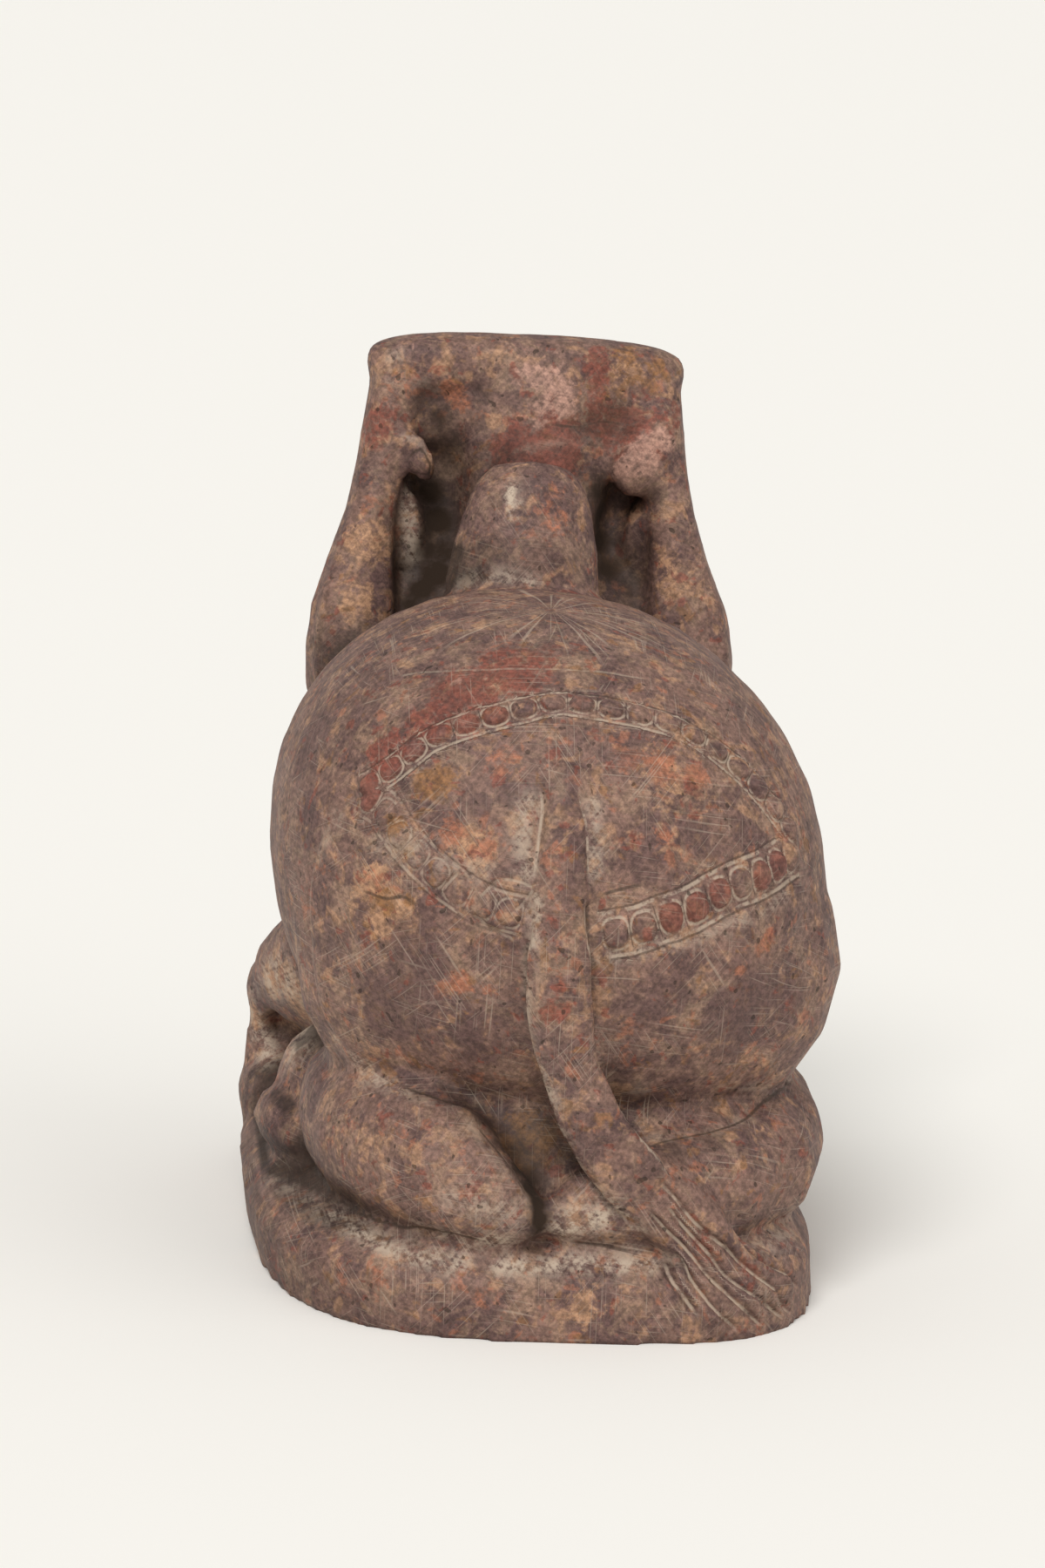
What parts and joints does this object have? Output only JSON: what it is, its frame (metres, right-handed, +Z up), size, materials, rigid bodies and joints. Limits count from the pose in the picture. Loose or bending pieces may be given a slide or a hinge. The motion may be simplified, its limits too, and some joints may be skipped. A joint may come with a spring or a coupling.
{
  "type": "nandi bull figure",
  "caption": "Small bull lying on a base of the same carved stone, with hump, down-turned horns, beaded strap round the rump and long tail.",
  "frame": {"origin": "middle of the figure's outline box, on the flat underside of the base", "axes": "+Z up; the bull faces -Y and its left side is +X"},
  "size_m": [0.0818, 0.1234, 0.128],
  "materials": {
    "stone": "rubbed smooth, mottled mauve brown"
  },
  "bodies": {
    "root": {"nandi_bull": "stone"}
  },
  "joints": []
}
